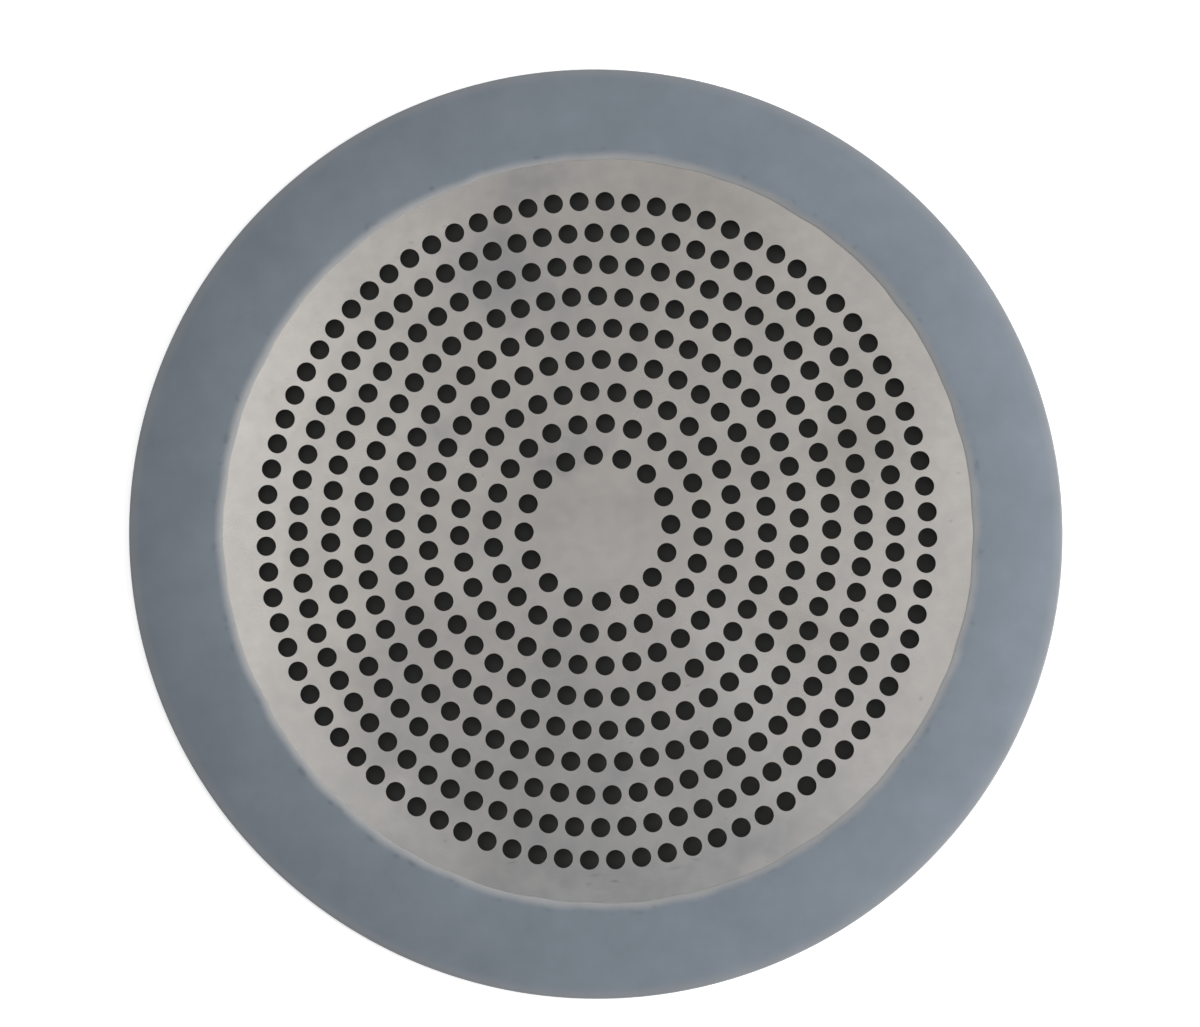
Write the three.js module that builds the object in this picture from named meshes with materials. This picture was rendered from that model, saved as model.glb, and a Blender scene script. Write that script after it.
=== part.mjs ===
// Shower drain strainer: a crowned, perforated stainless disc whose edge is gripped by a soft silicone rim.
// Millimetres, +Z up. The origin is the centre of the rim's underside, which lies on the shower floor.

import * as THREE from "three";

// Silicone rim
const RIM_DIAMETER = 145.4;
const RIM_WIDTH = 14.1; // from the outer edge in to the nose of the upper lip
const RIM_EDGE_THICKNESS = 1.0;
const RIM_TOP_RADIUS = 55.0; // curve of the upper face, from the nose out to the edge
const SEAT_HEIGHT = 2.0; // silicone under the disc's edge
const LIP_NOSE_THICKNESS = 0.5; // silicone over the disc, at the nose of the upper lip
const LOWER_LIP_REACH = 1.6; // how much further in the lower lip goes than the upper one
const LOWER_LIP_CHAMFER = 0.6;
const GRIP_GROOVE_COUNT = 3; // concentric grooves in the underside
const GRIP_GROOVE_WIDTH = 1.6;
const GRIP_GROOVE_DEPTH = 0.6;

// Steel disc
const SHEET_THICKNESS = 0.6;
const CROWN_HEIGHT = 1.8; // rise of the disc's centre over its edge
const GRIP_DEPTH = 2.4; // how far the disc's edge goes in under the upper lip
const GROOVE_CLEARANCE = 0.1; // between the sheet and each face of its groove
const GROOVE_END_CLEARANCE = 0.3; // between the disc's edge and the end of its groove

// Perforation
const HOLE_DIAMETER = 3.0;
const HOLE_WEB = 0.6; // least steel left between two holes
const FIRST_RING_DIAMETER = 22.8;
const EDGE_BAND = 7.2; // from the lip's nose in to the centres of the outermost holes
const RING_COUNT = 9; // fewer on a disc that is too small for them
const HOLES_IN_FIRST_RING = 16;
const HOLES_ADDED_PER_RING = 8;

// Mesh fineness
const ROUND_SEGMENTS = 64;
const HOLE_SIDES = 6; // an even number
const ARC_STEPS = { edgeBelow: 2, edgeAbove: 2, rimTop: 8, lipNose: 4 };

// Radii and heights that follow from the sizes above
const rimRadius = RIM_DIAMETER / 2;
const noseRadius = rimRadius - RIM_WIDTH;
const discRadius = noseRadius + GRIP_DEPTH;
const grooveRadius = discRadius + GROOVE_END_CLEARANCE;
const lowerLipRadius = noseRadius - LOWER_LIP_REACH;
const discHeight = SEAT_HEIGHT + GROOVE_CLEARANCE;

// Rise of the sheet over its own edge at a distance from the axis.
function crownRise(radius) {
  return CROWN_HEIGHT * (1 - (radius / discRadius) ** 2);
}

// A hole is drawn as a regular polygon of the same area as the round hole.
const holeCornerRadius =
  (HOLE_DIAMETER / 2) * Math.sqrt((2 * Math.PI) / (HOLE_SIDES * Math.sin((2 * Math.PI) / HOLE_SIDES)));

// Hole rings, from the centre out: each has its radius, its number of holes and the angle of its first hole.
function holeRings() {
  const firstRadius = FIRST_RING_DIAMETER / 2;
  const lastRadius = noseRadius - EDGE_BAND;
  const spacing = 2 * holeCornerRadius + HOLE_WEB;
  const count = Math.min(RING_COUNT, 1 + Math.floor((lastRadius - firstRadius) / spacing));
  const pitch = count > 1 ? (lastRadius - firstRadius) / (count - 1) : 0;
  return Array.from({ length: count }, (_, ring) => {
    const radius = firstRadius + ring * pitch;
    const fitting = Math.floor((2 * Math.PI * radius) / spacing);
    const holes = Math.min(HOLES_IN_FIRST_RING + ring * HOLES_ADDED_PER_RING, fitting);
    const step = (2 * Math.PI) / holes;
    // Every second ring is turned by half a step, so that its holes stand between those of its neighbours.
    return { radius, holes, step, start: ring % 2 ? step / 2 : 0 };
  });
}

// Corners of the hole at one angle of a ring, anticlockwise from the corner that comes first round the disc.
function holeCorners(ring, angle) {
  const outward = new THREE.Vector2(Math.cos(angle), Math.sin(angle));
  const along = new THREE.Vector2(-outward.y, outward.x);
  return Array.from({ length: HOLE_SIDES }, (_, corner) => {
    const turn = -Math.PI / 2 + (2 * Math.PI * corner) / HOLE_SIDES;
    return new THREE.Vector2()
      .addScaledVector(outward, ring.radius + holeCornerRadius * Math.cos(turn))
      .addScaledVector(along, holeCornerRadius * Math.sin(turn));
  });
}

// The disc is meshed in bands from ring to ring, so that its faces follow the crown closely.
function discGeometry() {
  const points = [new THREE.Vector2(0, 0)];
  const loops = []; // closed edges as lists of point numbers: the holes, then the disc's own edge
  const addLoop = (corners) => {
    const loop = corners.map((corner) => points.push(corner) - 1);
    loops.push(loop);
    return loop;
  };
  const angleOf = (point) => (points[point].angle() + 2 * Math.PI) % (2 * Math.PI);
  const inOrder = (chain) => {
    const first = chain.reduce((best, point, at) => (angleOf(point) < angleOf(chain[best]) ? at : best), 0);
    return [...chain.slice(first), ...chain.slice(0, first)];
  };

  // Each ring has an inner and an outer chain, which run along its holes and share the webs between them.
  const half = HOLE_SIDES / 2;
  const chains = holeRings().map((ring) => {
    const inner = [];
    const outer = [];
    for (let hole = 0; hole < ring.holes; hole++) {
      const loop = addLoop(holeCorners(ring, ring.start + hole * ring.step));
      outer.push(...loop.slice(0, half + 1));
      inner.push(loop[0], ...loop.slice(half).reverse());
    }
    return { inner: inOrder(inner), outer: inOrder(outer) };
  });
  const edge = addLoop(
    Array.from({ length: ROUND_SEGMENTS }, (_, step) => {
      const angle = (2 * Math.PI * step) / ROUND_SEGMENTS;
      return new THREE.Vector2(Math.cos(angle), Math.sin(angle)).multiplyScalar(discRadius);
    }),
  );

  // Triangles between two chains, taking whichever next point comes first round the disc.
  const faces = [];
  const fillBand = (inner, outer) => {
    const at = (chain, step) => chain[step % chain.length];
    const turn = (chain, step) => angleOf(at(chain, step)) + 2 * Math.PI * Math.floor(step / chain.length);
    let i = 0;
    let o = 0;
    while (i < inner.length || o < outer.length) {
      const innerNext = o >= outer.length || (i < inner.length && turn(inner, i + 1) <= turn(outer, o + 1));
      faces.push([at(inner, i), at(outer, o), innerNext ? at(inner, i + 1) : at(outer, o + 1)]);
      if (innerNext) i++;
      else o++;
    }
  };
  const innermost = chains[0].inner;
  innermost.forEach((point, at) => faces.push([0, point, innermost[(at + 1) % innermost.length]]));
  chains.forEach((chain, ring) => fillBand(chain.outer, chains[ring + 1]?.inner ?? edge));

  // Underside, then top, then the walls: the edge's wall faces out and a hole's wall faces its own axis.
  const heights = points.map((point) => crownRise(point.length()));
  const positions = [
    ...points.flatMap((point, at) => [point.x, point.y, heights[at]]),
    ...points.flatMap((point, at) => [point.x, point.y, heights[at] + SHEET_THICKNESS]),
  ];
  const top = points.length;
  const triangles = faces.flatMap(([a, b, c]) => [a, c, b, a + top, b + top, c + top]);
  for (const loop of loops) {
    const wall = loop === edge ? loop : [...loop].reverse();
    wall.forEach((a, at) => {
      const b = wall[(at + 1) % wall.length];
      triangles.push(a, b, b + top, a, b + top, a + top);
    });
  }
  const geometry = new THREE.BufferGeometry();
  geometry.setAttribute("position", new THREE.Float32BufferAttribute(positions, 3));
  geometry.setIndex(triangles);
  geometry.computeVertexNormals();
  return geometry;
}

// Points along an arc, both ends included, in a section through the axis: x is the radius and y the height.
function arc(centre, radius, from, to, steps) {
  return Array.from({ length: steps + 1 }, (_, step) => {
    const angle = from + ((to - from) * step) / steps;
    return new THREE.Vector2(Math.cos(angle), Math.sin(angle)).multiplyScalar(radius).add(centre);
  });
}

// Centre of the arc of a given radius that runs smoothly over two round ends, with the inner end given first.
function archCentre(radius, innerCentre, innerRound, outerCentre, outerRound) {
  const toInner = radius - innerRound;
  const toOuter = radius - outerRound;
  const span = outerCentre.clone().sub(innerCentre);
  const length = span.length();
  const along = (length ** 2 + toInner ** 2 - toOuter ** 2) / (2 * length);
  const below = Math.sqrt(toInner ** 2 - along ** 2);
  const outward = span.divideScalar(length);
  const downward = new THREE.Vector2(outward.y, -outward.x);
  return innerCentre.clone().addScaledVector(outward, along).addScaledVector(downward, below);
}

// The rim's section, from the lower lip out along the underside, over the top and back through the groove.
function rimSection() {
  const lowerFace = (radius) => SEAT_HEIGHT + crownRise(radius);
  const upperFace = (radius) => discHeight + SHEET_THICKNESS + GROOVE_CLEARANCE + crownRise(radius);
  const edgeRound = RIM_EDGE_THICKNESS / 2;
  const edgeCentre = new THREE.Vector2(rimRadius - edgeRound, edgeRound);
  const noseRound = LIP_NOSE_THICKNESS / 2;
  const noseCentre = new THREE.Vector2(noseRadius + noseRound, upperFace(noseRadius) + noseRound);
  const topCentre = archCentre(RIM_TOP_RADIUS, noseCentre, noseRound, edgeCentre, edgeRound);
  const edgeAngle = edgeCentre.clone().sub(topCentre).angle();
  const noseAngle = noseCentre.clone().sub(topCentre).angle();

  const footInner = lowerLipRadius + LOWER_LIP_CHAMFER;
  const groovePitch = (edgeCentre.x - footInner) / (GRIP_GROOVE_COUNT + 1);
  const underside = [new THREE.Vector2(lowerLipRadius, LOWER_LIP_CHAMFER), new THREE.Vector2(footInner, 0)];
  for (let groove = 1; groove <= GRIP_GROOVE_COUNT; groove++) {
    const middle = footInner + groove * groovePitch;
    underside.push(
      new THREE.Vector2(middle - GRIP_GROOVE_WIDTH / 2, 0),
      new THREE.Vector2(middle, GRIP_GROOVE_DEPTH),
      new THREE.Vector2(middle + GRIP_GROOVE_WIDTH / 2, 0),
    );
  }
  return [
    ...underside,
    ...arc(edgeCentre, edgeRound, -Math.PI / 2, 0, ARC_STEPS.edgeBelow),
    ...arc(edgeCentre, edgeRound, 0, edgeAngle, ARC_STEPS.edgeAbove).slice(1),
    ...arc(topCentre, RIM_TOP_RADIUS, edgeAngle, noseAngle, ARC_STEPS.rimTop).slice(1),
    ...arc(noseCentre, noseRound, noseAngle, (3 * Math.PI) / 2, ARC_STEPS.lipNose).slice(1),
    new THREE.Vector2(grooveRadius, upperFace(grooveRadius)),
    new THREE.Vector2(grooveRadius, lowerFace(grooveRadius)),
    new THREE.Vector2(lowerLipRadius, lowerFace(lowerLipRadius)),
  ];
}

function rimGeometry() {
  const section = rimSection();
  return new THREE.LatheGeometry([...section, section[0]], ROUND_SEGMENTS).rotateX(Math.PI / 2);
}

const brushedSteel = new THREE.MeshStandardMaterial({ color: 0xb2aeaa, metalness: 1.0, roughness: 0.42 });
const greySilicone = new THREE.MeshStandardMaterial({ color: 0x777e88, metalness: 0.0, roughness: 0.7 });

const disc = new THREE.Mesh(discGeometry(), brushedSteel);
disc.name = "perforated_disc";
disc.position.z = discHeight;

const rim = new THREE.Mesh(rimGeometry(), greySilicone);
rim.name = "silicone_rim";

const strainer = new THREE.Group();
strainer.name = "shower_drain_strainer";
strainer.add(disc, rim);

export default strainer;
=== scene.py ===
# Looks of the shower drain strainer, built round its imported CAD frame. Metres, +Z up.
import math

import bpy
import numpy as np
from mathutils import Matrix, Vector


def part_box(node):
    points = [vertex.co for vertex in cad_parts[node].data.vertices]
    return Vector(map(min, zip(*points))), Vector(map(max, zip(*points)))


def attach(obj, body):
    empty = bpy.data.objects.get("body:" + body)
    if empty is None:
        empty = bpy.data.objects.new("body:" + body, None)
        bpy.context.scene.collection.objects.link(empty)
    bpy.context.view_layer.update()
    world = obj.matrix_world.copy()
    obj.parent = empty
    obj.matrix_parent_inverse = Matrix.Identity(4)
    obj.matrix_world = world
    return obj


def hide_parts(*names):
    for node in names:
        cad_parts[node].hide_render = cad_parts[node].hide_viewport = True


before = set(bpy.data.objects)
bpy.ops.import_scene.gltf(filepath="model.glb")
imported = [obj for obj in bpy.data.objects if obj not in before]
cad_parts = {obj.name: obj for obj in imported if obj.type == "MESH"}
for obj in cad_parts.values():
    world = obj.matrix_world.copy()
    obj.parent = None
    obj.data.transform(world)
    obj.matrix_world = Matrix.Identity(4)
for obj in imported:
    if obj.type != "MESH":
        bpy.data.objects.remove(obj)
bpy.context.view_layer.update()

MM = 0.001

# Sizes that the frame gives
disc_low, disc_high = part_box("perforated_disc")
rim_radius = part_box("silicone_rim")[1].x
disc_radius = disc_high.x
crown_top = disc_high.z

# Steel disc: its sheet and its rings of holes are those of the CAD part
SHEET_THICKNESS = 0.6 * MM
HOLE_DIAMETER = 3.0 * MM
HOLE_ROLL = 0.04 * MM  # rounding of a hole's upper edge, where the punch went in
HOLE_ROLL_STEPS = 3
HOLE_BREAK = 0.04 * MM  # narrow break of a hole's lower edge
FIRST_RING_RADIUS = 11.4 * MM
RING_PITCH = 5.0 * MM
RING_COUNT = 9
HOLES_IN_FIRST_RING = 16
HOLES_ADDED_PER_RING = 8
HOLE_SIDES = 32
DISC_SIDES = 256

# Finish of the steel. A noise is (scale per metre, detail, roughness), and its range is the part that counts
STEEL_DARK = (0.615, 0.591, 0.569, 1)
STEEL_PALE = (0.693, 0.660, 0.625, 1)
CLOUD_NOISE = (95.0, 2.5, 0.5)
CLOUD_RANGE = (0.25, 0.75)
SPECKLE_NOISE = (420.0, 3.0, 0.5)
SPECKLE_RANGE = (0.2, 0.8)
SPECKLE_TONE = 0.5  # how far a speckle shifts the tone, which goes from 0 to 1
HAZE_NOISE = (45.0, 2.0, 0.5)
HAZE_RANGE = (0.3, 0.7)
HAZE_ROUGHNESS = (0.21, 0.27)
GRAIN_NOISE = (900.0, 2.0, 0.5)
GRAIN_SQUEEZE = (1.0, 10.0, 1.0)  # makes the grain run along X
GRAIN_RANGE = (0.3, 0.7)
GRAIN_ROUGHNESS = 0.015
GRAIN_BUMP = 0.006
GRAIN_DEPTH = 0.01 * MM
FLECK_NOISE = (450.0, 1.0, 0.5)
FLECK_SQUEEZE = (1.0, 2.0, 1.0)
FLECK_RANGE = (0.74, 0.82)
FLECK_STRENGTH = 0.2
FLECK_COLOR = (0.30, 0.29, 0.28, 1)
RAGGED_NOISE = (160.0, 3.0, 0.5)
RAGGED_SHIFT = 12 * MM
NOISE_MIDDLE = (0.5, 0.5, 0.5)

# Soft marks on the steel: a colour, then spots as (place, half length, half width, turn, strength),
# in millimetres and degrees. The darker patches are partly stains and partly painted shade of the mirrored
# surroundings, and the pale spots are painted sheen; these get ragged edges, and the nicks don't.
# darker, cooler patches: partly stains, partly painted shade where the steel mirrors the dark, bluish
# surround
COOL_STAINS_AND_SHADE = (
    (0.02, 0.08, 0.19, 1),
    [
        ((-12, 40), 16, 11, -30, 0.25),
        ((-7, 55), 10, 6, 10, 0.20),
        ((-24, 16), 5, 4, 0, 0.15),
        ((-4, 12), 10, 5, 15, 0.22),
        ((-30, -31), 20, 12, -40, 0.12),
        ((1, -38), 9, 8, 0, 0.15),
        ((20, -51), 17, 5, 22, 0.15),
    ],
)
# darker, warmer patches: partly stains, partly painted shade in the steel's reflection
WARM_STAINS_AND_SHADE = (
    (0.12, 0.08, 0.04, 1),
    [
        ((22, 50), 12, 6, -25, 0.14),
        ((42, 14), 21, 11, 90, 0.19),
        ((31, 30), 9, 8, 0, 0.10),
        ((32, 9), 22, 6, 0, 0.10),
        ((33, -18), 16, 7, -28, 0.13),
        ((-32, 37), 7, 5, 0, 0.08),
        ((-46, -5), 20, 6, 85, 0.10),
        ((-41, 20), 8, 5, 0, 0.08),
        ((-40, -20), 8, 7, 0, 0.11),
    ],
)
# pale warm spots: painted sheen, standing in for light that the steel mirrors
PAINTED_SHEEN_SPOTS = (
    (1.0, 0.98, 0.94, 1),
    [
        ((20, -22), 18, 9, -65, 0.24),
        ((-4, -3), 22, 12, 15, 0.17),
        ((-20, -6), 12, 10, 0, 0.19),
        ((-24, 47), 7, 4, 45, 0.12),
        ((-45, 28), 8, 6, 60, 0.06),
        ((-37, -41), 24, 6, -42, 0.20),
        ((50, -20), 14, 6, 70, 0.08),
        ((57, 4), 20, 4, 90, 0.10),
        ((-8, -56), 13, 3, -8, 0.14),
    ],
)
NICKS = (
    (0.12, 0.12, 0.13, 1),
    [
        ((-16, -51), 1.2, 0.4, 8, 0.15),
        ((-3.3, -53.6), 1.4, 0.4, 5, 0.18),
        ((-0.3, -54.7), 1.0, 0.4, -5, 0.30),
        ((9, -53.2), 1.8, 0.4, 5, 0.16),
        ((12.4, -52), 1.2, 0.4, -10, 0.18),
        ((48.7, -29), 0.6, 0.6, 0, 0.20),
    ],
)

# Silicone rim: its section is that of the CAD part, with a finer lip
RIM_WIDTH = 14.1 * MM
RIM_TOP_RADIUS = 55.0 * MM
RIM_TOP_STEPS = 24
EDGE_ROUND = 0.5 * MM
EDGE_STEPS = 6
LIP_ROLL = 4.0 * MM  # radius of the lip's gentle fall towards the steel
LIP_ROLL_STEPS = 8
LIP_SLOPE = math.radians(18)  # slope at the end of that fall
LIP_BEAD = 0.12 * MM  # radius of the round edge that the lip ends in
LIP_BEAD_STEPS = 4
LIP_SINK = 0.02 * MM  # how far the edge is pressed below the sheet's surface
LIP_REACH = 0.43 * MM  # how far the edge runs on over the steel past the nose
GROOVE_CLEARANCE = 0.1 * MM
GROOVE_END_CLEARANCE = 0.3 * MM
LOWER_LIP_REACH = 1.6 * MM
LOWER_LIP_CHAMFER = 0.6 * MM
GRIP_GROOVES = 3
GRIP_GROOVE_WIDTH = 1.6 * MM
GRIP_GROOVE_DEPTH = 0.6 * MM
GRIP_GROOVE_STEPS = 12
RIM_SIDES = 320
CRISP_ANGLE = math.radians(32)  # faces that meet at more than this keep a crisp edge between them

# Unevenness of the lip's reach: waves round the rim as (height, count, start)
LIP_WAVES = [
    (0.37 * MM, 1, -1.52),
    (0.09 * MM, 2, -1.80),
    (0.09 * MM, 3, 2.01),
    (0.06 * MM, 4, 1.14),
    (0.05 * MM, 7, 0.9),
    (0.05 * MM, 19, 2.6),
    (0.05 * MM, 34, 0.2),
    (0.04 * MM, 53, 1.7),
]

# Paler and duller stretches of the lip, as waves of the same kind; they add up to between -1 and 1
LIP_TONES = [
    (0.35, 1, 2.95),
    (0.42, 2, 2.76),
    (0.32, 3, 2.57),
    (0.14, 4, 2.39),
]
DULL_LIP_COLOR = (0.238, 0.240, 0.244, 1)
PALE_LIP_COLOR = (0.328, 0.330, 0.334, 1)

# Finish of the silicone
SILICONE_DARK = (0.142, 0.167, 0.195, 1)
SILICONE_PALE = (0.168, 0.195, 0.228, 1)
SILICONE_NOISE = (150.0, 3.0, 0.6)
SILICONE_RANGE = (0.25, 0.75)
SKIN_NOISE = (3800.0, 2.0, 0.5)
SKIN_RANGE = (0.2, 0.8)
SKIN_ROUGHNESS = (0.52, 0.64)
SKIN_BUMP = 0.12
SKIN_DEPTH = 0.03 * MM
SILICONE_IOR = 1.41
PALING_REACH = 1.65 * MM  # how far from its edge the lip is paler
PALING_NOISE = (110.0, 3.0, 0.6)
PALING_RANGE = (0.2, 0.8)
PALING_SHIFT = 0.4 * MM
LIP_FOOT = 1.4 * MM  # distance from the lip's edge at which dirt has left small specks
SPECK_FADE = (0.2 * MM, 0.7 * MM)
SPECK_NOISE = (500.0, 1.0, 0.5)
SPECK_RANGE = (0.60, 0.75)
SPECK_STRENGTH = 0.25
SPECK_COLOR = (0.04, 0.045, 0.055, 1)
# paler band along the outer edge: painted sheen on its rounded edge
EDGE_SHEEN_WIDTH = 2.0 * MM
EDGE_SHEEN_STRENGTH = 0.3
EDGE_SHEEN_COLOR = (0.30, 0.285, 0.275, 1)

nose_radius = rim_radius - RIM_WIDTH
crown_height = crown_top - disc_low.z - SHEET_THICKNESS

# Photograph: image width, focal length in pixels, and the camera's place relative to the top of the crown
IMAGE_WIDTH = 1200
FOCAL_PIXELS = 6438
CAMERA_PLACE = Vector((-27.3, -98.9, 993.0)) * MM
CAMERA_TILT = math.radians(-5.816)
CAMERA_PAN = math.radians(1.597)
PATTERN_TURN = math.radians(3.16)  # how far the hole pattern is turned in the picture
SENSOR_WIDTH = 36.0
CLIP_START = 0.01
CLIP_END = 50.0

# Surround: its colours at the skyline, overhead and where the photographer stands
SKYLINE_COLOR = (0.92, 0.92, 0.92, 1)
OVERHEAD_COLOR = (0.415, 0.415, 0.410, 1)
OVERHEAD_FROM = 0.28  # height of a direction, as its Z, from which the overhead colour holds
SHADE_COLOR = (0.020, 0.088, 0.185, 1)
SHADE_PLACE = (0.055, -0.118, 0.992)  # direction of the middle of that shade
SHADE_REACH = 0.145

# Softboxes: name, place, width, height, brightness and whether the steel mirrors it.
# A brightness of 1 is that of a white background.
SOFTBOXES = [
    ("left_box", (-0.583, 0.121, 1.0), 0.84, 0.915, 0.68, True),
    ("right_box", (0.60, -0.03, 1.0), 0.82, 1.04, 0.33, True),
    ("key_box", (0.755, -0.12, 0.32), 0.9, 0.5, 7.4, False),
    ("back_box", (-0.06, 0.64, 0.77), 0.5, 0.5, 1.5, False),
]

# Floor: its half side, and its own glow near the object and far from it, where less lamp light reaches it
FLOOR_REACH = 6.0
NEAR_GLOW = 0.5
FAR_GLOW = 0.65
NEAR_REACH = 0.3  # the near glow holds up to this distance
FAR_REACH = 0.8  # and the far glow from this one on
FLOOR_COLOR = (0.8, 0.8, 0.8, 1)
WHITE = (1, 1, 1, 1)

# A dark disc under the sheet: painted shade of the drain below, which shows through the holes
DRAIN_SHADE_COLOR = (0.038, 0.038, 0.037, 1)
SHADE_DISC_DEPTH = 1.2 * MM  # how far under the sheet the dark begins
SHADE_DISC_SIDES = 96
SHADE_DISC_RINGS = 12

STAGE_ROUGHNESS = 0.9


def crown(radius):
    """Height of the sheet's upper surface at a distance from the axis."""
    return crown_top - crown_height * (radius / disc_radius) ** 2


def crown_normals(points):
    """Unit normals of the upper surface over points in the plane."""
    slope = 2 * crown_height / disc_radius**2
    normals = np.column_stack([slope * points[:, 0], slope * points[:, 1], np.ones(len(points))])
    return normals / np.linalg.norm(normals, axis=1)[:, None]


def add_object(name, vertices, faces):
    """A new mesh object with smooth shading."""
    mesh = bpy.data.meshes.new(name)
    mesh.from_pydata(vertices, [], faces)
    mesh.polygons.foreach_set("use_smooth", [True] * len(mesh.polygons))
    made = bpy.data.objects.new(name, mesh)
    bpy.context.scene.collection.objects.link(made)
    return made


def edge_profile():
    """Section of a wall through the sheet, from the upper to the lower surface: (back from the wall, depth,
    lean, rise). Lean and rise are the normal's parts along the way that the wall faces and upwards."""
    turns = [math.pi / 2 * step / HOLE_ROLL_STEPS for step in range(HOLE_ROLL_STEPS + 1)]
    rows = [
        (HOLE_ROLL * (1 - math.sin(t)), HOLE_ROLL * (1 - math.cos(t)), math.sin(t), math.cos(t))
        for t in turns
    ]
    rows.append((0.0, SHEET_THICKNESS - HOLE_BREAK, 1.0, 0.0))
    rows.append((HOLE_BREAK, SHEET_THICKNESS, 0.0, -1.0))
    return rows


class Sheet:
    """Vertices, normals and faces of the disc, filled hole by hole."""

    def __init__(self):
        self.points = []
        self.normals = []
        self.faces = []
        self.count = 0
        self.profile = edge_profile()

    def add_loop(self, flat, faced, depth, lean, rise):
        """A closed loop of vertices under the upper surface; faced is the level way that its wall faces."""
        radius = np.linalg.norm(flat, axis=1)
        up = crown_normals(flat)
        side = np.column_stack([faced, np.zeros(len(flat))])
        normals = rise * up + lean * side
        self.points.append(np.column_stack([flat, crown(radius) - depth]))
        self.normals.append(normals / np.linalg.norm(normals, axis=1)[:, None])
        first = self.count
        self.count += len(flat)
        return list(range(first, self.count))

    def add_wall(self, centre, start_turn, radius, sides, facing):
        """A round wall through the sheet. Facing is -1 for a hole and 1 for the disc's own edge."""
        turns = start_turn + 2 * np.pi * np.arange(sides) / sides
        outward = np.column_stack([np.cos(turns), np.sin(turns)])
        loops = []
        for back, depth, lean, rise in self.profile:
            flat = centre + outward * (radius - facing * back)
            loops.append(self.add_loop(flat, facing * outward, depth, lean, rise))
        for upper, lower in zip(loops, loops[1:]):
            for here in range(sides):
                after = (here + 1) % sides
                quad = [upper[here], lower[here], lower[after], upper[after]]
                self.faces.append(quad if facing > 0 else quad[::-1])
        return loops[0], loops[-1]

    def fill_band(self, inner, outer, flip):
        """Triangles between two chains of (angle, vertex), taking whichever next point comes first."""
        def at(chain, step):
            angle, vertex = chain[step % len(chain)]
            return angle + 2 * math.pi * (step // len(chain)), vertex

        i = o = 0
        while i < len(inner) or o < len(outer):
            take_inner = o >= len(outer) or (i < len(inner) and at(inner, i + 1)[0] <= at(outer, o + 1)[0])
            third = at(inner, i + 1)[1] if take_inner else at(outer, o + 1)[1]
            face = [at(inner, i)[1], at(outer, o)[1], third]
            self.faces.append(face[::-1] if flip else face)
            i, o = (i + 1, o) if take_inner else (i, o + 1)


def hole_rings():
    """Radius, number of holes and angle of the first hole of each ring, from the centre out."""
    for ring in range(RING_COUNT):
        holes = HOLES_IN_FIRST_RING + ring * HOLES_ADDED_PER_RING
        step = 2 * math.pi / holes
        yield FIRST_RING_RADIUS + ring * RING_PITCH, holes, (step / 2 if ring % 2 else 0.0)


def build_disc():
    """The crowned sheet with round holes, each with a rolled upper edge. A hole's outer half borders
    the band of sheet beyond its ring, and its inner half the band within it."""
    sheet = Sheet()
    half = HOLE_SIDES // 2
    levels = ([], [])  # chains of the upper and of the lower surface, ring by ring
    for radius, holes, start in hole_rings():
        chains = [{"inner": [], "outer": []} for _ in levels]
        for hole in range(holes):
            angle = start + 2 * math.pi * hole / holes
            centre = radius * np.array([math.cos(angle), math.sin(angle)])
            walls = sheet.add_wall(centre, angle - math.pi / 2, HOLE_DIAMETER / 2, HOLE_SIDES, -1)
            for chain, loop in zip(chains, walls):
                chain["outer"] += loop[: half + 1]
                chain["inner"] += [loop[0]] + loop[half:][::-1]
        for level, chain in zip(levels, chains):
            level.append(chain)
    edge = sheet.add_wall(np.zeros(2), 0.0, disc_radius, DISC_SIDES, 1)
    middle = [
        sheet.add_loop(np.zeros((1, 2)), np.zeros((1, 2)), depth, 0.0, rise)[0]
        for depth, rise in ((0.0, 1.0), (SHEET_THICKNESS, -1.0))
    ]
    points = np.concatenate(sheet.points)
    turns = np.arctan2(points[:, 1], points[:, 0]) % (2 * np.pi)

    def in_order(chain):
        first = min(range(len(chain)), key=lambda at: turns[chain[at]])
        return [(turns[v], v) for v in chain[first:] + chain[:first]]

    for level, outline, centre, flip in zip(levels, edge, middle, (False, True)):
        inmost = in_order(level[0]["inner"])
        for step, (_, vertex) in enumerate(inmost):
            face = [centre, vertex, inmost[(step + 1) % len(inmost)][1]]
            sheet.faces.append(face[::-1] if flip else face)
        beyond = [ring["inner"] for ring in level[1:]] + [outline]
        for ring, chain in zip(level, beyond):
            sheet.fill_band(in_order(ring["outer"]), in_order(chain), flip)
    disc = add_object("steel_disc", points.tolist(), sheet.faces)
    disc.data.normals_split_custom_set_from_vertices(np.concatenate(sheet.normals).tolist())
    return disc


def waves(parts, angle):
    """An uneven value round the rim: the sum of some waves."""
    return sum(height * math.sin(count * angle + start) for height, count, start in parts)


def turn_of(vector):
    """Angle of a vector in the section, from 0 to a full turn."""
    return math.atan2(vector.y, vector.x) % (2 * math.pi)


def arc(centre, radius, start, end, steps):
    """Points along an arc in the section, both ends included."""
    return [
        (centre[0] + radius * math.cos(t), centre[1] + radius * math.sin(t))
        for t in (start + (end - start) * step / steps for step in range(steps + 1))
    ]


def arch_centre(radius, inner_centre, inner_round, outer_centre, outer_round):
    """Centre of the arc of a given radius that runs smoothly over two round ends of the section."""
    to_inner = radius - inner_round
    to_outer = radius - outer_round
    span = outer_centre - inner_centre
    along = (span.length**2 + to_inner**2 - to_outer**2) / (2 * span.length)
    below = math.sqrt(to_inner**2 - along**2)
    outward = span.normalized()
    downward = Vector((outward.y, -outward.x))
    return inner_centre + outward * along + downward * below


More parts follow.
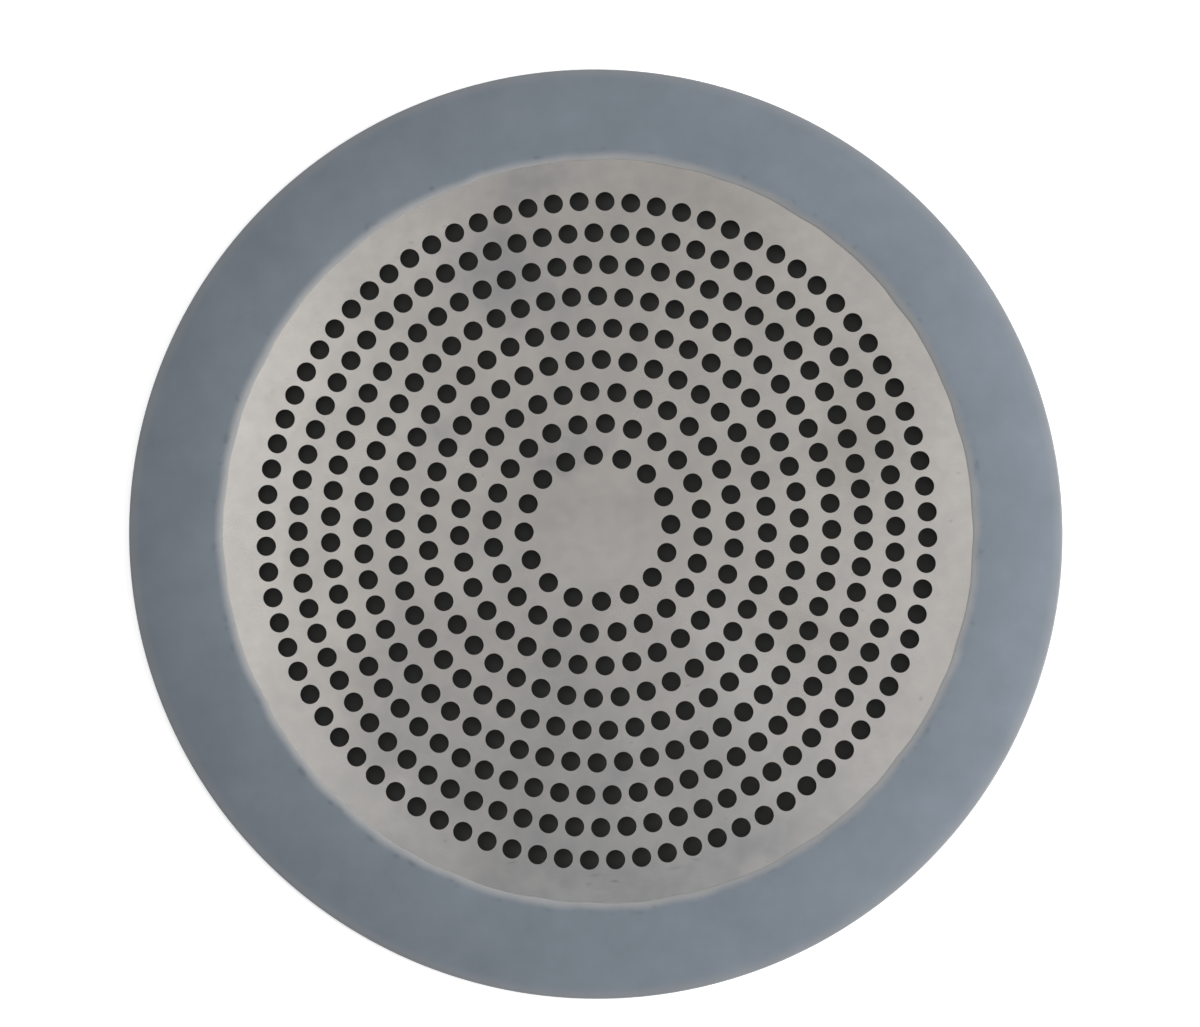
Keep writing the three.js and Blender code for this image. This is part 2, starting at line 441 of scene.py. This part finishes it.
def grip_groove(middle):
    """One soft groove in the rim's underside."""
    return [
        (middle + GRIP_GROOVE_WIDTH / 2 * x, GRIP_GROOVE_DEPTH * (0.5 + 0.5 * math.cos(math.pi * x)))
        for x in (2 * step / GRIP_GROOVE_STEPS - 1 for step in range(GRIP_GROOVE_STEPS + 1))
    ]


def lip_tip(angle):
    """Radius of the lip's uneven edge."""
    return nose_radius - LIP_REACH - waves(LIP_WAVES, angle)


def rim_section(angle):
    """The rim's closed section at an angle, as (radius, height), anticlockwise from the lower lip."""
    groove_radius = disc_radius + GROOVE_END_CLEARANCE
    lower_lip = nose_radius - LOWER_LIP_REACH
    foot = lower_lip + LOWER_LIP_CHAMFER
    tip = lip_tip(angle)

    def lower_face(radius):
        return crown(radius) - SHEET_THICKNESS - GROOVE_CLEARANCE

    edge_centre = Vector((rim_radius - EDGE_ROUND, EDGE_ROUND))
    bead_centre = Vector((tip + LIP_BEAD, crown(tip)))
    roll_end = math.pi / 2 + LIP_SLOPE
    to_surface = Vector((math.cos(roll_end), math.sin(roll_end)))
    roll_centre = bead_centre - to_surface * (LIP_ROLL - LIP_BEAD)
    top_centre = arch_centre(RIM_TOP_RADIUS, roll_centre, LIP_ROLL, edge_centre, EDGE_ROUND)
    edge_turn = turn_of(edge_centre - top_centre)
    roll_turn = turn_of(roll_centre - top_centre)

    pitch = (edge_centre.x - foot) / (GRIP_GROOVES + 1)
    section = [(lower_lip, LOWER_LIP_CHAMFER), (foot, 0.0)]
    for groove in range(1, GRIP_GROOVES + 1):
        section += grip_groove(foot + groove * pitch)
    section += arc(edge_centre, EDGE_ROUND, -math.pi / 2, 0.0, EDGE_STEPS)
    section += arc(edge_centre, EDGE_ROUND, 0.0, edge_turn, EDGE_STEPS)[1:]
    section += arc(top_centre, RIM_TOP_RADIUS, edge_turn, roll_turn, RIM_TOP_STEPS)[1:]
    section += arc(roll_centre, LIP_ROLL, roll_turn, roll_end, LIP_ROLL_STEPS)[1:]
    section += arc(bead_centre, LIP_BEAD, roll_end, math.pi, LIP_BEAD_STEPS)[1:]
    section += [
        (tip, crown(tip) - LIP_SINK),
        (groove_radius, crown(groove_radius) + GROOVE_CLEARANCE),
        (groove_radius, lower_face(groove_radius)),
        (lower_lip, lower_face(lower_lip)),
    ]
    return section


def build_rim():
    """The moulded ring, swept round the axis, with a slightly uneven lip. Each point also keeps its distance
    from the lip's edge, and the lip's tone at its angle, for the material."""
    vertices = []
    from_lip = []
    lip_tone = []
    for turn in range(RIM_SIDES):
        angle = 2 * math.pi * turn / RIM_SIDES
        section = rim_section(angle)
        vertices += [(r * math.cos(angle), r * math.sin(angle), z) for r, z in section]
        from_lip += [r - lip_tip(angle) for r, _ in section]
        lip_tone += [waves(LIP_TONES, angle)] * len(section)
    size = len(vertices) // RIM_SIDES
    faces = []
    for turn in range(RIM_SIDES):
        here = turn * size
        there = (turn + 1) % RIM_SIDES * size
        for step in range(size):
            after = (step + 1) % size
            faces.append([here + step, there + step, there + after, here + after])
    rim = add_object("soft_rim", vertices, faces)
    for name, values in (("from_lip", from_lip), ("lip_tone", lip_tone)):
        rim.data.attributes.new(name, "FLOAT", "POINT").data.foreach_set("value", values)
    rim.data.set_sharp_from_angle(angle=CRISP_ANGLE)
    return rim


class Nodes:
    """Short forms for making the nodes of a material or of the world."""

    MIX_INPUTS = (0, 6, 7)  # a Mix node's sockets for the factor and the two colours
    MIX_OUTPUT = 2

    def __init__(self, owner, shader):
        self.owner = owner
        owner.use_nodes = True
        self.tree = owner.node_tree
        self.shader = self.tree.nodes[shader]

    def add(self, kind, inputs=None, **settings):
        node = self.tree.nodes.new(kind)
        for key, value in settings.items():
            setattr(node, key, value)
        for key, value in (inputs or {}).items():
            self.put(node.inputs[key], value)
        return node

    def put(self, socket, value):
        if isinstance(value, bpy.types.NodeSocket):
            self.tree.links.new(value, socket)
        else:
            socket.default_value = value

    def math(self, operation, a, b=0.0):
        return self.add("ShaderNodeMath", {0: a, 1: b}, operation=operation).outputs[0]

    def vector(self, operation, a, b, output="Vector"):
        return self.add("ShaderNodeVectorMath", {0: a, 1: b}, operation=operation).outputs[output]

    def length(self, vector):
        return self.add("ShaderNodeVectorMath", {0: vector}, operation="LENGTH").outputs["Value"]

    def attribute(self, name):
        return self.add("ShaderNodeAttribute", attribute_name=name).outputs["Fac"]

    def noise(self, place, scale, detail, roughness, output="Fac"):
        inputs = {"Vector": place, "Scale": scale, "Detail": detail, "Roughness": roughness}
        return self.add("ShaderNodeTexNoise", inputs).outputs[output]

    def span(self, value, low, high, to_low, to_high, shape="LINEAR"):
        inputs = {"Value": value, "From Min": low, "From Max": high, "To Min": to_low, "To Max": to_high}
        return self.add("ShaderNodeMapRange", inputs, interpolation_type=shape).outputs["Result"]

    def mix(self, factor, a, b):
        node = self.add("ShaderNodeMix", data_type="RGBA")
        for socket, value in zip(self.MIX_INPUTS, (factor, a, b)):
            self.put(node.inputs[socket], value)
        return node.outputs[self.MIX_OUTPUT]

    def bump(self, height, strength, distance):
        inputs = {"Height": height, "Strength": strength, "Distance": distance}
        return self.add("ShaderNodeBump", inputs).outputs["Normal"]


def material_nodes(name):
    """The nodes of a new material."""
    return Nodes(bpy.data.materials.new(name), "Principled BSDF")


def ragged_place(n, place):
    """The place on the surface, shifted about a little, so that soft marks get ragged edges."""
    noise = n.noise(place, *RAGGED_NOISE, output="Color")
    centred = n.vector("SUBTRACT", noise, NOISE_MIDDLE)
    return n.vector("ADD", place, n.vector("MULTIPLY", centred, (RAGGED_SHIFT, RAGGED_SHIFT, 0)))


def add_marks(n, base, place, marks):
    """The base colour with some soft marks of one colour, each fading out from its middle."""
    color, spots = marks
    cover = 0.0
    for (x, y), length, width, turn, strength in spots:
        spot = {
            "Vector": place,
            "Location": (x * MM, y * MM, 0),
            "Rotation": (0, 0, math.radians(turn)),
            "Scale": (length * MM, width * MM, 1),
        }
        local = n.add("ShaderNodeMapping", spot, vector_type="TEXTURE").outputs["Vector"]
        cover = n.math("ADD", n.span(n.length(local), 0.0, 1.0, strength, 0.0, "SMOOTHSTEP"), cover)
    return n.mix(cover, base, color)


def steel_material():
    """Rolled sheet with a dull, cloudy finish, a very fine grain along X, darker patches that are partly
    stains and partly painted shade, pale spots of painted sheen, and nicks.
    """
    n = material_nodes("satin_steel")
    place = n.add("ShaderNodeTexCoord").outputs["Object"]
    cloud = n.noise(place, *CLOUD_NOISE)
    speckle = n.noise(place, *SPECKLE_NOISE)
    haze = n.noise(place, *HAZE_NOISE)
    grain = n.noise(n.vector("MULTIPLY", place, GRAIN_SQUEEZE), *GRAIN_NOISE)
    fleck = n.noise(n.vector("MULTIPLY", place, FLECK_SQUEEZE), *FLECK_NOISE)
    clouds = n.span(cloud, *CLOUD_RANGE, 0.0, 1.0)
    speckles = n.span(speckle, *SPECKLE_RANGE, -SPECKLE_TONE, SPECKLE_TONE)
    color = n.mix(n.math("ADD", clouds, speckles), STEEL_DARK, STEEL_PALE)
    ragged = ragged_place(n, place)
    # darker patches of stain and painted shade, and pale spots of painted sheen, over the base colour
    for marks in (COOL_STAINS_AND_SHADE, WARM_STAINS_AND_SHADE, PAINTED_SHEEN_SPOTS):
        color = add_marks(n, color, ragged, marks)
    color = add_marks(n, color, place, NICKS)
    color = n.mix(n.span(fleck, *FLECK_RANGE, 0.0, FLECK_STRENGTH), color, FLECK_COLOR)
    n.put(n.shader.inputs["Base Color"], color)
    dullness = n.span(haze, *HAZE_RANGE, *HAZE_ROUGHNESS)
    streaks = n.span(grain, *GRAIN_RANGE, -GRAIN_ROUGHNESS, GRAIN_ROUGHNESS)
    n.put(n.shader.inputs["Roughness"], n.math("ADD", dullness, streaks))
    n.shader.inputs["Metallic"].default_value = 1.0
    n.put(n.shader.inputs["Normal"], n.bump(grain, GRAIN_BUMP, GRAIN_DEPTH))
    return n.owner


def lip_color(n, base, place):
    """The base colour, paling towards the lip's edge, with small specks at the lip's foot."""
    from_lip = n.attribute("from_lip")
    uneven = n.span(n.noise(place, *PALING_NOISE), *PALING_RANGE, -PALING_SHIFT, PALING_SHIFT)
    thin = n.span(n.math("ADD", from_lip, uneven), 0.0, PALING_REACH, 1.0, 0.0, "SMOOTHSTEP")
    tone = n.span(n.attribute("lip_tone"), -1.0, 1.0, 0.0, 1.0)
    paled = n.mix(thin, base, n.mix(tone, DULL_LIP_COLOR, PALE_LIP_COLOR))
    from_foot = n.math("ABSOLUTE", n.math("SUBTRACT", from_lip, LIP_FOOT))
    at_foot = n.span(from_foot, *SPECK_FADE, 1.0, 0.0)
    specks = n.span(n.noise(place, *SPECK_NOISE), *SPECK_RANGE, 0.0, SPECK_STRENGTH)
    return n.mix(n.math("MULTIPLY", specks, at_foot), paled, SPECK_COLOR)


def silicone_material():
    """Matte moulded silicone, paler where the lip thins out over the steel, and with painted sheen along the
    outer edge.
    """
    n = material_nodes("grey_silicone")
    place = n.add("ShaderNodeTexCoord").outputs["Object"]
    radius = n.length(n.vector("MULTIPLY", place, (1, 1, 0)))
    skin = n.noise(place, *SKIN_NOISE)
    tone = n.span(n.noise(place, *SILICONE_NOISE), *SILICONE_RANGE, 0.0, 1.0)
    body = n.mix(tone, SILICONE_DARK, SILICONE_PALE)
    # painted sheen: a paler band towards the outer edge
    edge_sheen = n.span(radius, rim_radius - EDGE_SHEEN_WIDTH, rim_radius, 0.0, EDGE_SHEEN_STRENGTH, "SMOOTHSTEP")
    n.put(n.shader.inputs["Base Color"], n.mix(edge_sheen, lip_color(n, body, place), EDGE_SHEEN_COLOR))
    n.put(n.shader.inputs["Roughness"], n.span(skin, *SKIN_RANGE, *SKIN_ROUGHNESS))
    n.shader.inputs["IOR"].default_value = SILICONE_IOR
    n.put(n.shader.inputs["Normal"], n.bump(skin, SKIN_BUMP, SKIN_DEPTH))
    return n.owner


def floor_material():
    """White to the eye, in mirrors and through glass, and still darker in the object's shadow."""
    n = material_nodes("pale_floor")
    n.shader.inputs["Base Color"].default_value = FLOOR_COLOR
    n.shader.inputs["Roughness"].default_value = STAGE_ROUGHNESS
    n.shader.inputs["Specular IOR Level"].default_value = 0.0
    n.shader.inputs["Emission Color"].default_value = WHITE
    away = n.length(n.add("ShaderNodeTexCoord").outputs["Object"])
    glow = n.span(away, NEAR_REACH, FAR_REACH, NEAR_GLOW, FAR_GLOW)
    path = n.add("ShaderNodeLightPath")
    seen = path.outputs["Is Camera Ray"]
    for other in ("Is Glossy Ray", "Is Transmission Ray"):
        seen = n.math("MAXIMUM", seen, path.outputs[other])
    n.put(n.shader.inputs["Emission Strength"], n.math("MULTIPLY", seen, glow))
    return n.owner


def drain_shade_material():
    """The dull dark that shows through the holes: painted shade of the drain below."""
    n = material_nodes("drain_shade")
    n.shader.inputs["Base Color"].default_value = DRAIN_SHADE_COLOR
    n.shader.inputs["Roughness"].default_value = STAGE_ROUGHNESS
    return n.owner


def build_stage():
    """A pale floor, with a dark disc under the sheet as painted shade of the drain below."""
    square = [(-1, -1), (1, -1), (1, 1), (-1, 1)]
    floor = add_object("floor", [(x * FLOOR_REACH, y * FLOOR_REACH, 0.0) for x, y in square], [[0, 1, 2, 3]])
    floor.data.materials.append(floor_material())
    points = []
    for ring in range(1, SHADE_DISC_RINGS + 1):
        radius = (nose_radius - LOWER_LIP_REACH) * ring / SHADE_DISC_RINGS
        height = crown(radius) - SHEET_THICKNESS - SHADE_DISC_DEPTH
        for step in range(SHADE_DISC_SIDES):
            turn = 2 * math.pi * step / SHADE_DISC_SIDES
            points.append((radius * math.cos(turn), radius * math.sin(turn), height))
    faces = [list(range(SHADE_DISC_SIDES))]
    for inner in range(0, len(points) - SHADE_DISC_SIDES, SHADE_DISC_SIDES):
        for step in range(SHADE_DISC_SIDES):
            after = (step + 1) % SHADE_DISC_SIDES
            here = inner + step
            there = inner + after
            faces.append([here, here + SHADE_DISC_SIDES, there + SHADE_DISC_SIDES, there])
    # a dark disc that stands in for the shade inside the drain
    shade_disc = add_object("drain_shade_disc", points, faces)
    shade_disc.data.materials.append(drain_shade_material())


def build_camera():
    """The camera at the photograph's viewpoint."""
    data = bpy.data.cameras.new("photo_camera")
    data.sensor_width = SENSOR_WIDTH
    data.lens = FOCAL_PIXELS / IMAGE_WIDTH * SENSOR_WIDTH
    data.clip_start = CLIP_START
    data.clip_end = CLIP_END
    camera = bpy.data.objects.new("photo_camera", data)
    bpy.context.scene.collection.objects.link(camera)
    look = (Matrix.Rotation(CAMERA_TILT, 4, "X") @ Matrix.Rotation(CAMERA_PAN, 4, "Y")).transposed()
    turn = Matrix.Rotation(-PATTERN_TURN, 4, "Z")
    camera.matrix_world = (
        Matrix.Translation((0, 0, crown_top)) @ turn @ Matrix.Translation(CAMERA_PLACE) @ look
    )
    bpy.context.scene.camera = camera


def build_surround():
    """A pale world that is darker overhead, and darkest where the photographer stands."""
    n = Nodes(bpy.data.worlds.new("surround"), "Background")
    place = n.add("ShaderNodeTexCoord").outputs["Generated"]
    height = n.add("ShaderNodeSeparateXYZ", {"Vector": place}).outputs["Z"]
    away = n.vector("DISTANCE", place, SHADE_PLACE, "Value")
    sky = n.mix(n.span(height, 0.0, OVERHEAD_FROM, 0.0, 1.0), SKYLINE_COLOR, OVERHEAD_COLOR)
    n.put(n.shader.inputs["Color"], n.mix(n.span(away, 0.0, SHADE_REACH, 1.0, 0.0), sky, SHADE_COLOR))
    bpy.context.scene.world = n.owner


def add_softbox(name, place, width, height, glow, mirrored):
    """A soft panel that faces the object."""
    data = bpy.data.lights.new(name, "AREA")
    data.shape = "RECTANGLE"
    data.size = width
    data.size_y = height
    data.energy = glow * math.pi * width * height  # the watts that give the panel this brightness
    box = bpy.data.objects.new(name, data)
    bpy.context.scene.collection.objects.link(box)
    box.location = place
    box.rotation_euler = Vector(place).to_track_quat("Z", "Y").to_euler()
    box.visible_glossy = mirrored


bpy.context.scene.view_settings.view_transform = "Standard"

disc = build_disc()
disc.data.materials.append(steel_material())
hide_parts("perforated_disc")
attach(disc, "root")

rim = build_rim()
rim.data.materials.append(silicone_material())
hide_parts("silicone_rim")
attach(rim, "root")

build_stage()
build_camera()
build_surround()
for softbox in SOFTBOXES:
    add_softbox(*softbox)
